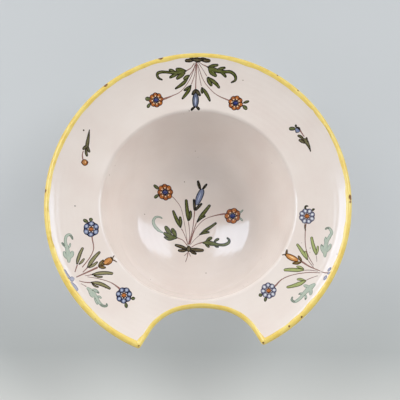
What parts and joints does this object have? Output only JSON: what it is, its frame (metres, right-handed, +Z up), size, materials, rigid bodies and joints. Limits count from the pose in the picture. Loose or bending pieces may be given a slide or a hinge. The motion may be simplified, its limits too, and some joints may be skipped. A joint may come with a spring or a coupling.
{
  "type": "barber's bowl",
  "caption": "Tin-glazed barber's bowl with a deep round well, a broad dished flange cut with a neck notch, a rounded yellow lip, a low foot ring and painted flower sprays.",
  "frame": {"origin": "bottom centre of the bowl's own box, on the plane that the foot stands on", "axes": "+Z up out of the well, -Y towards the neck notch, +X to the right for someone who looks along +Y from the notch"},
  "size_m": [0.27, 0.2714, 0.0831],
  "materials": {
    "tin_glaze": "gloss",
    "yellow_enamel": "gloss",
    "foot_clay": "satin"
  },
  "bodies": {
    "root": {"dish": "tin_glaze", "lip_band": "yellow_enamel", "foot_ring": "foot_clay"}
  },
  "joints": []
}
